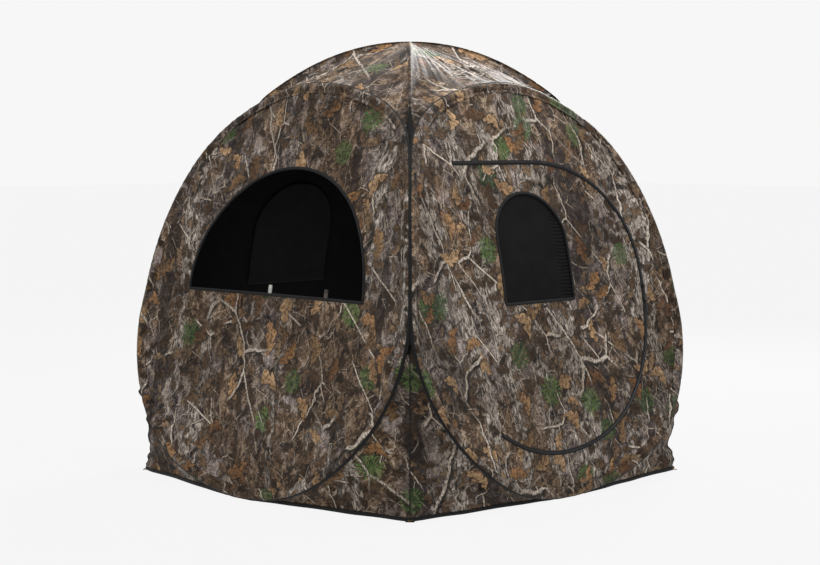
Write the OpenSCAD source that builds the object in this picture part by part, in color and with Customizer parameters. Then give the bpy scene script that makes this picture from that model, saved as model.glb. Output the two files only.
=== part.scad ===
// Pop-up ground blind: four spring-steel hoops, four walls, a four-gore roof and corner gussets.
// Origin on the ground below the peak, +Z up. The front wall faces -Y and the door wall faces +X.

/* [Overall shape] */
// Height of the peak above the ground
peak_h = 1676; // [1640:1:1700]
// Distance from the centre line to a corner at its widest
corner_r = 1058; // [1030:1:1080]
// Height at which the corners stand furthest out
belly_z = 460; // [420:10:500]
// How much further out the hoops stand at the ground than the corners do
foot_flare = 215; // [180:5:230]
// How far the middle of each wall is pulled in
wall_dish = 30; // [10:5:45]
// Extra set-back of the foot of the door wall and of the wall opposite
door_foot_dip = 90; // [40:5:120]
// Extra set-back of the feet of the front and back walls
wall_foot_dip = 45; // [20:5:100]

/* [Hoops] */
// Height of the top of each hoop
hoop_top = 1500; // [1480:5:1515]
// Height at which the two hoops of a corner begin to part
hoop_part_z = 1140; // [1100:10:1180]
// Height at which each hoop is widest
hoop_mid_z = 620; // [580:10:660]
// Diameter of the spring-steel rod
rod_d = 5; // [4:0.5:6]
// Width of the sewn sleeve round the rod
sleeve_d = 14; // [12:1:15]

/* [Front window] */
// Height of the sill above the ground
sill_z = 735; // [715:5:760]
// Width of the window at the sill
window_w = 950; // [850:10:980]
// Height of the arch above the sill
window_h = 455; // [400:5:470]

/* [Door] */
// Half width of the zipped edge's round foot
door_rx = 580; // [540:5:590]
// Depth of the zipped edge below its widest point
door_rz = 530; // [500:5:545]
// Height at which the zipped edge is widest
door_z = 700; // [690:5:720]
// Height of the door's straight top edge
door_top = 1215; // [1190:5:1225]
// Distance from the middle of the wall to the folded side
door_fold = 390; // [340:5:400]
// Width of each zip tape
tape_w = 10; // [8:1:12]

/* [Small windows] */
// Width of a small window
small_w = 370; // [320:10:380]
// Height of the small window's sill
small_sill = 713; // [700:1:730]
// Height at which its arch begins
small_spring = 930; // [900:10:950]
// Height of the top of its arch
small_top = 1100; // [1080:10:1120]
// Distance of the small window's middle from the middle of its wall
small_off = 30; // [0:5:40]

/* [Stake tabs] */
// Length of the webbing tab beyond the corner
tab_l = 30; // [28:1:60]
// Width of the webbing tab
tab_w = 32; // [28:1:45]
// Radius of the grommet's hole
grommet_r = 4.5; // [4:0.5:5]

/* [Hidden] */
SIDES = ["front", "right", "back", "left"];
CORNERS = ["front_right", "back_right", "back_left", "front_left"];

N = 48; // points round a wall's edge
N_RINGS = 6; // rows of points between a wall's opening and its edge
N_GORE = 26; // points across a roof gore
CLOTH = 2; // thickness of a cloth solid
SEAM = 1; // gap between neighbouring cloth solids
foot_lift = sleeve_d / 2 + 1; // height of a hoop's lowest point
crown_h = peak_h - belly_z;
root_h = 1630; // fall of the corner curve below its widest point
flare_top = 750; // the flare ends at this height
edge = sleeve_d / 2 + SEAM; // from a hoop's centre line to the cloth beside it
corner_gap = 12; // from the corner plane to a hoop's centre line
seam_gap = edge + 1.6; // from a hoop's centre line to the roof or gusset sewn to its sleeve
cover_set = 6; // from the wall to a closed window cover
cover_lap = 22; // a window cover is this much larger than its window all round
mesh_set = 3; // from the wall to the window mesh
hang = 166; // a window cover turns this far between closed and hanging
slider_turn = 2.2; // each slider rests this far from the middle of the zip's outer side
zip_high = 4.2; // height of a zip slider's underside above the cloth
hem_z = 22; // the hems follow the gussets' outline at this height
tab_tilt = 12; // each stake tab slopes down to the ground by this angle
tab_end = 14; // from an eyelet's middle to the tab's free end
grommet_z = 4.5; // height of an eyelet's middle

// ---- shape of the blind ----
// Distance of a corner from the centre line at height z
function corner(z) = corner_r * sqrt(1 - pow((z - belly_z) / (z > belly_z ? crown_h : root_h), 2));
function corner_w(z) = corner(z) / sqrt(2);
function flare(z) = foot_flare * pow(max(0, 1 - z / flare_top), 1.7);
// How far the middle of a wall stands out from its sides
function bulge(z, dip) = 130 * pow(max(0, z - 1000) / 500, 2) - wall_dish - dip * pow(max(0, 1 - z / 300), 2);
// Distance of a wall from the centre plane, at u along it and z up it
function wall_w(u, z, dip) = corner_w(z) + flare(z) + bulge(z, dip) * (1 - pow(u / corner_w(z), 2));
function on_wall(p, dip, out = 0) = [p[0], -wall_w(p[0], p[1], dip) - out, p[1]];
function dip_of(k) = k % 2 == 1 ? door_foot_dip : wall_foot_dip;

// Half width of a hoop at height z
function hoop_low(z) = (corner_w(hoop_mid_z) - corner_gap)
    * sqrt(max(0, 1 - pow((hoop_mid_z - z) / (hoop_mid_z - foot_lift), 2)));
function hoop_high(z) = (corner_w(z) - corner_gap)
    * sqrt(max(0, 1 - pow(max(0, z - hoop_part_z) / (hoop_top - hoop_part_z), 4)));
function hoop_half(z) = z < hoop_mid_z ? hoop_low(z) : hoop_high(z);
function hoop_z(i) = foot_lift + (hoop_top - foot_lift) * (1 - cos(360 * i / N)) / 2;
// The hoop's outline, anticlockwise as seen from outside, from the middle of its foot
hoop_line = [for (i = [0:N - 1]) let (z = hoop_z(i)) [(i > N / 2 ? -1 : 1) * hoop_half(z), z]];
function hoop_slope(z) = hoop_half(z + 0.5) - hoop_half(z - 0.5);

function turn_left(v) = [-v[1], v[0]] / max(norm(v), 0.001);
// A closed line moved inward by d
function inset(line, d) = let (n = len(line)) [for (i = [0:n - 1])
    line[i] + d * turn_left(line[(i + 1) % n] - line[(i + n - 1) % n])];
// An open line moved to its left by d
function shifted(line, d) = let (n = len(line)) [for (i = [0:n - 1])
    line[i] + d * turn_left(line[min(i + 1, n - 1)] - line[max(i - 1, 0)])];
// n points from a towards b, without b
function run(a, b, n) = [for (i = [0:n - 1]) a + (b - a) * i / n];
// n points along an ellipse's arc, without the last
function arc(c, rx, rz, from, to, n) = [for (i = [0:n - 1]) let (t = from + (to - from) * i / n)
    [c[0] + rx * cos(t), c[1] + rz * sin(t)]];

// ---- outlines in a wall's own plane, all with N points ----
function front_window(grow = 0) = let (h = window_w / 2 + grow) concat(
    run([0, sill_z - grow], [h, sill_z - grow], 7),
    arc([0, sill_z - grow], h, window_h + 2 * grow, 0, 180, N - 14),
    run([-h, sill_z - grow], [0, sill_z - grow], 7));
// counts: points on half the sill, on a side and round the arch
function small_window(off, counts, grow = 0) = let (h = small_w / 2 + grow) concat(
    run([off, small_sill - grow], [off + h, small_sill - grow], counts[0]),
    run([off + h, small_sill - grow], [off + h, small_spring], counts[1]),
    arc([off, small_spring], h, small_top - small_spring + grow, 0, 180, counts[2]),
    run([off - h, small_spring], [off - h, small_sill - grow], counts[3]),
    run([off - h, small_sill - grow], [off, small_sill - grow], counts[4]));
plain_counts = [4, 6, 28, 6, 4];
door_counts = [4, 8, 20, 10, 6];
door_off = -small_off;
foot_cx = -30; // middle of the zip's round foot
door_lo = -90 - asin((door_fold + foot_cx) / door_rx);
// A point on the door's round outer edge: an ellipse below its widest point and a fuller curve above it
function door_edge(t) = t < 0
    ? [foot_cx + door_rx * cos(t), door_z + door_rz * sin(t)]
    : [(foot_cx + door_rx) * pow(cos(t), 0.8), door_z + (door_top - door_z) * pow(sin(t), 0.8)];
function door_arc(from, to, n) = [for (i = [0:n - 1]) door_edge(from + (to - from) * i / n)];
fold_foot = door_edge(door_lo);
// The door's edge, from the middle of its foot: outer side, top, fold and foot
door_line = concat(
    door_arc(-90, 90, 22),
    run([0, door_top], [-door_fold, door_top], 6),
    run([-door_fold, door_top], fold_foot, 12),
    door_arc(door_lo, -90, 8));
// The zip's path along the same edge, from the foot of the fold round to its top
zip_stop = [10 - door_fold, door_top];
zip_line = concat(door_arc(door_lo + 1.2, 90, 44), run([0, door_top], zip_stop, 8), [zip_stop]);

// ---- solids from grids of points ----
// A closed solid between two grids of points; wrap joins the last column to the first
module slab(a, b, wrap = false) {
    rows = len(a);
    cols = len(a[0]);
    last = wrap ? cols : cols - 1;
    points = concat([for (r = a) for (p = r) p], [for (r = b) for (p = r) p]);
    function at(s, r, c) = s * rows * cols + r * cols + c % cols;
    skins = [for (r = [0:rows - 2]) for (c = [0:last - 1]) for (f = [
        [at(0, r, c), at(0, r, c + 1), at(0, r + 1, c + 1)],
        [at(0, r, c), at(0, r + 1, c + 1), at(0, r + 1, c)],
        [at(1, r, c), at(1, r + 1, c + 1), at(1, r, c + 1)],
        [at(1, r, c), at(1, r + 1, c), at(1, r + 1, c + 1)]]) f];
    ends = [for (c = [0:last - 1]) for (f = [
        [at(0, 0, c), at(1, 0, c), at(1, 0, c + 1)],
        [at(0, 0, c), at(1, 0, c + 1), at(0, 0, c + 1)],
        [at(0, rows - 1, c), at(0, rows - 1, c + 1), at(1, rows - 1, c + 1)],
        [at(0, rows - 1, c), at(1, rows - 1, c + 1), at(1, rows - 1, c)]]) f];
    sides = wrap ? [] : [for (r = [0:rows - 2]) for (f = [
        [at(0, r, 0), at(0, r + 1, 0), at(1, r + 1, 0)],
        [at(0, r, 0), at(1, r + 1, 0), at(1, r, 0)],
        [at(0, r, cols - 1), at(1, r, cols - 1), at(1, r + 1, cols - 1)],
        [at(0, r, cols - 1), at(1, r + 1, cols - 1), at(0, r + 1, cols - 1)]]) f];
    polyhedron(points, concat(skins, ends, sides));
}

// Cloth between two outlines of a wall, from out to out - thick away from the wall's surface
module wall_cloth(outer, inner, rings, dip, out = 0, thick = CLOTH, wrap = true) {
    function row(t, o) = [for (i = [0:len(outer) - 1])
        on_wall(outer[i] + (inner[i] - outer[i]) * t, dip, o)];
    steps = [for (r = [0:rings - 1]) r / (rings - 1)];
    slab([for (t = steps) row(t, out)], [for (t = steps) row(t, out - thick)], wrap);
}

// A tube of k sides swept round a closed hoop
module hoop_sweep(d, k, dip) {
    line = [for (p = hoop_line) on_wall(p, dip)];
    function ring(i) = let (
        t = line[(i + 1) % N] - line[(i + N - 1) % N],
        a = cross(t, [0, 1, 0]) / norm(cross(t, [0, 1, 0])),
        b = cross(a, t) / norm(cross(a, t)))
        [for (j = [0:k - 1]) line[i % N] + d / 2 * (a * cos(360 * j / k) + b * sin(360 * j / k))];
    points = [for (i = [0:N - 1]) for (p = ring(i)) p];
    function at(i, j) = (i % N) * k + j % k;
    polyhedron(points, [for (i = [0:N - 1]) for (j = [0:k - 1]) for (f = [
        [at(i, j), at(i + 1, j + 1), at(i, j + 1)],
        [at(i, j), at(i + 1, j), at(i + 1, j + 1)]]) f]);
}

module face(k) rotate([0, 0, 90 * k]) children();

// ---- walls, hoops and sleeves ----
cloth_colour = [0.42, 0.36, 0.28];
trim_colour = [0.08, 0.08, 0.08];
wall_edge = inset(hoop_line, edge);

module wall(k, opening) color(cloth_colour) face(k) wall_cloth(wall_edge, opening, N_RINGS, dip_of(k));
module wall_front() wall(0, front_window());
module wall_right() wall(1, inset(door_line, -2));
module wall_back() wall(2, small_window(0, plain_counts));
module wall_left() wall(3, small_window(small_off, plain_counts));
module hoop(k) color("silver") face(k) hoop_sweep(rod_d, 6, dip_of(k));
module sleeve(k) color(cloth_colour) face(k) hoop_sweep(sleeve_d, 6, dip_of(k));

// The crimped tube that joins each hoop's two ends, at the middle of its foot
module hoop_ferrules() color("gray")
    for (k = [0:3]) face(k) translate(on_wall([0, foot_lift], dip_of(k)))
        rotate([0, 90, 0]) cylinder(d = rod_d + 2, h = 60, center = true, $fn = 32);

// ---- roof ----
gore_half = [for (i = [0:N_GORE / 2 - 1]) let (t = i / (N_GORE / 2 - 0.5))
    hoop_part_z + (hoop_top - hoop_part_z) * sin(90 * t)];
module gore(k) {
    zs = concat(gore_half, [for (i = [N_GORE / 2 - 1:-1:0]) gore_half[i]]);
    foot = [for (i = [0:N_GORE - 1]) let (z = zs[i])
        [(i < N_GORE / 2 ? 1 : -1) * (i == 0 || i == N_GORE - 1 ? corner_w(z) - SEAM : hoop_half(z)), z]];
    // The ridges are round and the middle of a gore is nearly flat
    function fall(p) = 1.3 + 0.8 * pow(abs(p[0]) / corner_w(hoop_part_z), 2);
    // How far up the gore each column starts, so that it clears the hoop's sleeve
    line = [for (p = foot) on_wall(p, dip_of(k))];
    begin = [for (i = [0:N_GORE - 1]) let (
        p = line[i],
        run = line[min(i + 1, N_GORE - 1)] - line[max(i - 1, 0)],
        rise = [-p[0], -p[1], (peak_h - p[2]) * fall(foot[i])])
        seam_gap * norm(run) / norm(cross(run, rise))];
    function row(s, down) = [for (i = [0:N_GORE - 1]) let (
        p = line[i],
        t = begin[i] + (0.96 - begin[i]) * s)
        [p[0] * (1 - t), p[1] * (1 - t), p[2] + (peak_h - p[2]) * (1 - pow(1 - t, fall(foot[i]))) - down]];
    steps = [0, 0.1, 0.24, 0.4, 0.55, 0.7, 0.85, 1];
    color(cloth_colour) face(k) slab([for (t = steps) row(t, CLOTH)], [for (t = steps) row(t, 0)]);
}
module peak_patch() color(cloth_colour)
    translate([0, 0, peak_h - 9]) cylinder(r = 12, h = 9, $fn = 48);

// ---- corners ----
// Points across a corner gusset at height z, from the front wall's hoop to the side wall's hoop
function gusset_row(z, a_dip, b_dip, n, back) = let (
    half = hoop_half(z) + seam_gap * sqrt(1 + pow(hoop_slope(z), 2)),
    a = [half, -wall_w(half, z, a_dip) + 2],
    b = [wall_w(half, z, b_dip) - 2, -half],
    c = [corner_w(z), -corner_w(z)])
    [for (j = [0:n - 1]) let (
        t = 2 * j / (n - 1) - 1,
        side = t < 0 ? a : b,
        p = c + (side - c) * abs(t),
        q = p - [back, -back] / sqrt(2)) [q[0], q[1], z]];
module gusset(k) {
    n = 9;
    zs = [for (i = [0:14]) 18 + (flare_top - 30 - 18) * (1 - cos(90 * i / 14)) ];
    color(cloth_colour) face(k) slab(
        [for (z = zs) gusset_row(z, dip_of(k), dip_of((k + 1) % 4), n, CLOTH)],
        [for (z = zs) gusset_row(z, dip_of(k), dip_of((k + 1) % 4), n, 0)]);
}
module hem(k) {
    zs = [0, 8.5, 17];
    function row(z, back) = [for (p = gusset_row(hem_z, dip_of(k), dip_of((k + 1) % 4), 13, back)) [p[0], p[1], z]];
    color(trim_colour) face(k) slab([for (z = zs) row(z, CLOTH + 1)], [for (z = zs) row(z, -1)]);
}
module corner_tapes() {
    zs = [for (i = [0:10]) flare_top + (hoop_part_z - flare_top) * i / 10];
    function inner(z, back) = let (w = (corner(z) - back) / sqrt(2)) [[w - 7, -w - 7, z], [w + 7, -w + 7, z]];
    for (k = [0:3]) color(trim_colour) face(k)
        slab([for (z = zs) inner(z, 20.5)], [for (z = zs) inner(z, 18.5)]);
}

// ---- windows ----
// A binding tape round a window's edge, on the outside of the cloth
module window_tape(k, outline, wide) color(trim_colour) face(k)
    wall_cloth(inset(outline, -wide), outline, 2, dip_of(k), 2.6, 1.2);
// Mesh or a cover behind a window: rows of points across its arch
module arch_cloth(k, c, half, z0, spring, top, back, thick) {
    zs = concat([for (i = [0:3]) z0 + (spring - z0) * i / 4],
        [for (i = [0:8]) spring + (top - spring) * sin(90 * i / 8.6)]);
    function wide(z) = z < spring ? half : half * sqrt(max(0.0001, 1 - pow((z - spring) / (top - spring), 2)));
    function row(z, o) = [for (j = [0:10]) on_wall([c + wide(z) * (j / 5 - 1), z], dip_of(k), o)];
    face(k) slab([for (z = zs) row(z, -back)], [for (z = zs) row(z, -back - thick)]);
}
// Turns what is drawn closed so that it hangs from the hinge line at height z and distance w
module hanging(k, w, z, turn = hang) face(k) translate([0, -w, z]) rotate([-turn, 0, 0])
    translate([0, w, -z]) face(-k) children();

front_hinge = [wall_w(0, sill_z, wall_foot_dip) - 16, sill_z - 8];
door_hinge = [wall_w(0, small_sill, door_foot_dip) - 16, small_sill - 8];
module front_window_tape() window_tape(0, front_window(), tape_w);
module front_window_cover() color(cloth_colour) hanging(0, front_hinge[0], front_hinge[1])
    arch_cloth(0, 0, window_w / 2 + cover_lap, sill_z - 6, sill_z + 20, sill_z + window_h + cover_lap,
        cover_set, CLOTH);
module small_cover(k, off) arch_cloth(k, off, small_w / 2 + cover_lap, small_sill - 4, small_spring,
    small_top + cover_lap, cover_set + 1, CLOTH);
module small_mesh(k, off) color("black") arch_cloth(k, off, small_w / 2 + 8, small_sill - 2, small_spring,
    small_top + 8, mesh_set, 0.8);
module door_window_cover() color(cloth_colour) hanging(1, door_hinge[0], door_hinge[1]) small_cover(1, door_off);
module left_window_cover() color(cloth_colour) small_cover(3, small_off);
module back_window_cover() color(cloth_colour) small_cover(2, 0);
module door_window_tape() window_tape(1, small_window(door_off, door_counts), tape_w);
module left_window_tape() window_tape(3, small_window(small_off, plain_counts), tape_w);
module back_window_tape() window_tape(2, small_window(0, plain_counts), tape_w);
module door_window_mesh() small_mesh(1, door_off);
module left_window_mesh() small_mesh(3, small_off);
module back_window_mesh() small_mesh(2, 0);

// Places a child at a point of wall k, its Y axis pointing out of the wall and its Z axis up it
module on_face(k, u, z, out) face(k) translate(on_wall([u, z], dip_of(k), out))
    rotate([atan((wall_w(u, z + 5, dip_of(k)) - wall_w(u, z - 5, dip_of(k))) / 10), 0, 0])
    rotate([0, 0, -atan((wall_w(u + 5, z, dip_of(k)) - wall_w(u - 5, z, dip_of(k))) / 10)]) mirror([0, 1, 0])
    children();
// A bar toggle with its stitched loop
module toggle() {
    translate([0, 6, 0]) rotate([0, 90, 0]) cylinder(d = 8, h = 26, center = true, $fn = 24);
    translate([-4, 0, -3]) cube([8, 3, 6]);
}
module front_toggles() color(trim_colour) {
    on_face(0, -25, 650, 1.6) toggle();
    on_face(0, 131, 687, 1.6) toggle();
}
module door_toggle() color(trim_colour) on_face(1, -21, 690, 1.6) toggle();
module sill_strap() color(trim_colour) on_face(0, -177, sill_z - tape_w - 30, 2.2)
    translate([-3, 0, -25]) cube([6, 2, 50]);
// Two tie loops sewn behind the sill, which stand between it and the closed cover
module sill_loops() color(cloth_colour) for (u = [-34, 274])
    on_face(0, u, sill_z, -4) translate([-9, 0, -8]) cube([18, 1.2, 40]);

// ---- door and zip ----
module door_panel() color(cloth_colour) face(1)
    wall_cloth(inset(door_line, 2), small_window(door_off, door_counts), N_RINGS, door_foot_dip);
// A strip along the zip's path, from one distance off it to another
module zip_strip(near, far, out, thick) face(1)
    wall_cloth(shifted(zip_line, near), shifted(zip_line, far), 2, door_foot_dip, out, thick, false);
module zip_tape_wall() color(trim_colour) zip_strip(-3 - tape_w, -3, 1.6, 1.2);
module zip_tape_door() color(trim_colour) zip_strip(3, 3 + tape_w, 1.6, 1.2);
module zip_coil_wall() color(trim_colour) zip_strip(-2.8, -0.4, 3, 2.6);
module zip_coil_door() color(trim_colour) zip_strip(0.4, 2.8, 3, 2.6);
// Stands a child on the zip's path, a round its centre from the middle of the outer side
module at_zip(a) on_face(1, door_edge(a)[0], door_edge(a)[1], zip_high) children();
// Slider body with a bail over its pull's pin; way is 1 where its mouth points up
module slider(way) {
    difference() {
        union() {
            translate([-5, 0, -8]) cube([10, 2.4, 16]);
            for (s = [-1, 1]) translate([s * 4 - 1, 2.3, -3]) cube([2, 4.2, 6]);
        }
        translate([-1.2, -1, way * 8 - 2]) cube([2.4, 4, 4]);
    }
    translate([0, 4.6, 0]) rotate([0, 90, 0]) cylinder(r = 1, h = 9, center = true, $fn = 24);
}
// Pull tab hanging from the pin, with a running hole round it
module pull() difference() {
    union() {
        translate([0, 4.6, 0]) rotate([0, 90, 0]) cylinder(r = 2.1, h = 5, center = true, $fn = 32);
        translate([-2.5, 3.6, -30]) cube([5, 2, 29]);
        translate([-4, 3.2, -44]) cube([8, 3, 16]);
    }
    translate([0, 4.6, 0]) rotate([0, 90, 0]) cylinder(r = 1.06, h = 7, center = true, $fn = 32);
}
module zip_slider_upper() color("dimgray") at_zip(slider_turn) slider(1);
module zip_slider_lower() color("dimgray") at_zip(-slider_turn) slider(-1);
module zip_pull_upper() color(trim_colour) at_zip(slider_turn) pull();
module zip_pull_lower() color(trim_colour) at_zip(-slider_turn) pull();

// ---- ground ----
grommet_at = corner(hem_z) + 3 + tab_l - tab_end; // the tabs begin just outside the hem
// Places a child at each corner's eyelet, its X axis running out along the sloping tab
module at_tabs() for (k = [0:3]) face(k) rotate([0, 0, -45])
    translate([grommet_at, 0, grommet_z]) rotate([0, tab_tilt, 0]) children();
module stake_tabs() color(trim_colour) at_tabs() difference() {
    translate([tab_end - tab_l, -tab_w / 2, -1.6]) cube([tab_l, tab_w, 2.5]);
    cylinder(r = grommet_r + 2.6, h = 6, center = true, $fn = 48);
}
// Rolled eyelets, one in each tab
module grommets() color("gold") at_tabs() rotate_extrude($fn = 64) translate([grommet_r, -2.2]) union() {
    square([2.5, 4.4]);
    translate([0, 3.2]) square([5, 1.2]);
}

wall_front();
wall_right();
wall_back();
wall_left();
for (k = [0:3]) {
    hoop(k);
    sleeve(k);
    gore(k);
    gusset(k);
    hem(k);
}
peak_patch();
corner_tapes();
hoop_ferrules();
front_window_tape();
front_window_cover();
front_toggles();
sill_strap();
sill_loops();
door_panel();
zip_tape_wall();
zip_tape_door();
zip_coil_wall();
zip_coil_door();
zip_slider_upper();
zip_slider_lower();
zip_pull_upper();
zip_pull_lower();
door_window_tape();
door_window_mesh();
door_window_cover();
door_toggle();
left_window_tape();
left_window_mesh();
left_window_cover();
back_window_tape();
back_window_mesh();
back_window_cover();
stake_tabs();
grommets();
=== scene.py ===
import math

import bmesh
import bpy
import numpy as np
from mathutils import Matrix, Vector


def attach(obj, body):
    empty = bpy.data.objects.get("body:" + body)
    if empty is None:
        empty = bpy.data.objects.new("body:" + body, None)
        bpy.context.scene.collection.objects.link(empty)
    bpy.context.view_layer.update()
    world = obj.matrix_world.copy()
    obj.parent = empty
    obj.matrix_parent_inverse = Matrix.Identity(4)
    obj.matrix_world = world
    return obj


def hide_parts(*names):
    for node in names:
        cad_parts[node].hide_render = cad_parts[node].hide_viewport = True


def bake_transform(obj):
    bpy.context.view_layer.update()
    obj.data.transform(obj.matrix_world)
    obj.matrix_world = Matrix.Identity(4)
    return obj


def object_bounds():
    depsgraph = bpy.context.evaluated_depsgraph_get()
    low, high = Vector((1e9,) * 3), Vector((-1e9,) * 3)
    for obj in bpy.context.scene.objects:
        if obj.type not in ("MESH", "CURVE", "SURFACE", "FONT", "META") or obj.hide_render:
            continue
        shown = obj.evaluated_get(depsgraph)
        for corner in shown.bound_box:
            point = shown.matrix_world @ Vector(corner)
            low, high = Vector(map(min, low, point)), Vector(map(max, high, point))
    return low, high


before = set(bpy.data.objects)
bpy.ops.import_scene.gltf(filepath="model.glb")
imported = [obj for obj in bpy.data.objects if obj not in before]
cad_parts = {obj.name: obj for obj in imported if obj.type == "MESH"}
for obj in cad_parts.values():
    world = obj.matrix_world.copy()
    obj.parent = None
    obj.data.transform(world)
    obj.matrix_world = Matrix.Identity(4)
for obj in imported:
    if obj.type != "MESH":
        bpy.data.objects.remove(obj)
cad_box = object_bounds()

# ---------------------------------------------------------------- the blind's shape, in metres
SIDES = ["front", "right", "back", "left"]
CORNERS = ["front_right", "back_right", "back_left", "front_left"]
PEAK = cad_box[1][2]
CORNER_R, BELLY_Z, ROOT_H = 1.058, 0.460, 1.630
FOOT_FLARE, FLARE_TOP, WALL_DISH = 0.215, 0.750, 0.030
FOOT_DIP = [0.045, 0.090, 0.045, 0.090]
HOOP_TOP, HOOP_PART, HOOP_MID = 1.500, 1.140, 0.620
SLEEVE_R = 0.007
FOOT_LIFT = SLEEVE_R + 0.001
CORNER_GAP = 0.012
SILL_Z, WINDOW_W, WINDOW_H = 0.735, 0.950, 0.455
DOOR_RX, DOOR_RZ, DOOR_Z, DOOR_TOP, DOOR_FOLD, DOOR_FOOT = 0.580, 0.530, 0.700, 1.215, 0.390, -0.030
SMALL_W, SMALL_SILL, SMALL_SPRING, SMALL_TOP = 0.370, 0.713, 0.930, 1.100
SMALL_OFF = {1: -0.030, 2: 0.0, 3: 0.030}
COVER_TURN = math.radians(166)  # from closed to hanging
CLOTH = 0.0009  # thickness of the cloth shown
TAPE = 0.010  # width of a window's binding


def corner_r(z):
    z = np.asarray(z, float)
    rise = np.where(z > BELLY_Z, PEAK - BELLY_Z, ROOT_H)
    return CORNER_R * np.sqrt(np.maximum(0, 1 - ((z - BELLY_Z) / rise) ** 2))


def corner_w(z):
    return corner_r(z) / math.sqrt(2)


def wall_w(u, z, side):
    """How far a wall's surface stands from the centre plane."""
    flare = FOOT_FLARE * np.maximum(0, 1 - z / FLARE_TOP) ** 1.7
    bulge = 0.130 * (np.maximum(0, z - 1) / 0.5) ** 2 - WALL_DISH
    bulge = bulge - FOOT_DIP[side] * np.maximum(0, 1 - z / 0.3) ** 2
    w = np.maximum(corner_w(z), 1e-3)
    return w + flare + bulge * (1 - (u / w) ** 2)


def hoop_half(z):
    """Half the hoop's width at height z."""
    z = np.asarray(z, float)
    low = (corner_w(HOOP_MID) - CORNER_GAP) * np.sqrt(
        np.maximum(0, 1 - ((HOOP_MID - z) / (HOOP_MID - FOOT_LIFT)) ** 2))
    part = np.maximum(0, z - HOOP_PART) / (HOOP_TOP - HOOP_PART)
    high = (corner_w(z) - CORNER_GAP) * np.sqrt(np.maximum(0, 1 - part ** 4))
    return np.where(z < HOOP_MID, low, high)


def turned(p, side):
    """Points of the front wall's frame, turned to another side."""
    p = np.array(p, float)
    for _ in range(side % 4):
        p = np.stack([-p[..., 1], p[..., 0], p[..., 2]], -1)
    return p


def on_wall(uz, side, out=0.0):
    """Points of a wall's outline as places in the row frame, out along the wall's normal."""
    u, z = uz[..., 0], uz[..., 1]
    step = 0.002
    w = wall_w(u, z, side)
    du = (wall_w(u + step, z, side) - w) / step
    dz = (wall_w(u, z + step, side) - w) / step
    size = np.sqrt(1 + du ** 2 + dz ** 2)
    out = np.asarray(out) / size
    p = np.stack([u - du * out, -(w + out), z - dz * out], -1)
    return turned(p, side)


# ---------------------------------------------------------------- lines in a wall's plane
def resample(line, n, closed=False):
    """n points evenly spaced along a line; a closed line's first point isn't repeated."""
    line = np.asarray(line, float)
    if closed:
        line = np.vstack([line, line[:1]])
    step = np.linalg.norm(np.diff(line, axis=0), axis=1)
    at = np.concatenate([[0], np.cumsum(step)])
    to = np.linspace(0, at[-1], n + 1)[:-1] if closed else np.linspace(0, at[-1], n)
    return np.stack([np.interp(to, at, line[:, i]) for i in range(line.shape[1])], -1)


def left_of(line, closed):
    """The unit normals to the left of a line."""
    if closed:
        t = np.roll(line, -1, 0) - np.roll(line, 1, 0)
    else:
        t = np.gradient(line, axis=0)
    t = t / np.maximum(np.linalg.norm(t, axis=1, keepdims=True), 1e-9)
    return np.stack([-t[:, 1], t[:, 0]], -1)


def shifted(line, d, closed=True):
    return line + d * left_of(line, closed)


def hoop_line(n):
    z = FOOT_LIFT + (HOOP_TOP - FOOT_LIFT) * (1 - np.cos(np.linspace(0, 2 * math.pi, 801)[:-1])) / 2
    side = np.where(np.arange(800) > 400, -1, 1)
    return resample(np.stack([side * hoop_half(z), z], -1), n, True)


def window_line(grow=0.0):
    h = WINDOW_W / 2 + grow
    t = np.linspace(0, math.pi, 121)[1:-1]
    base = SILL_Z - grow
    arch = np.stack([h * np.cos(t), base + (WINDOW_H + 2 * grow) * np.sin(t)], -1)
    return np.vstack([[[0, base], [h, base]], arch, [[-h, base]]])


def small_line(side, grow=0.0):
    off, h = SMALL_OFF[side], SMALL_W / 2 + grow
    t = np.linspace(0, math.pi, 61)
    arch = np.stack([off + h * np.cos(t), SMALL_SPRING + (SMALL_TOP - SMALL_SPRING + grow) * np.sin(t)], -1)
    base = SMALL_SILL - grow
    return np.vstack([[[off, base], [off + h, base]], arch, [[off - h, base]]])


def door_edge(t):
    low = np.stack([DOOR_FOOT + DOOR_RX * np.cos(t), DOOR_Z + DOOR_RZ * np.sin(t)], -1)
    high = np.stack([(DOOR_FOOT + DOOR_RX) * np.maximum(np.cos(t), 0) ** 0.8,
                     DOOR_Z + (DOOR_TOP - DOOR_Z) * np.maximum(np.sin(t), 0) ** 0.8], -1)
    return np.where((t < 0)[..., None], low, high)


DOOR_LOW = -math.pi / 2 - math.asin((DOOR_FOLD + DOOR_FOOT) / DOOR_RX)


def zip_line(n):
    """The zip's path, from the foot of the door's fold round to its top."""
    t = np.linspace(DOOR_LOW, math.pi / 2, 300)
    return resample(np.vstack([door_edge(t), [[-DOOR_FOLD, DOOR_TOP]]]), n)


def door_line():
    """The door's whole edge, from the middle of its foot."""
    t = np.linspace(-math.pi / 2, math.pi / 2, 200)
    foot = np.linspace(DOOR_LOW, -math.pi / 2, 60)[:-1]
    return np.vstack([door_edge(t), [[-DOOR_FOLD, DOOR_TOP]], door_edge(foot)])


# ---------------------------------------------------------------- noise for wrinkles
TABLE = np.random.default_rng(7).random((256, 256)) * 2 * math.pi


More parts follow.
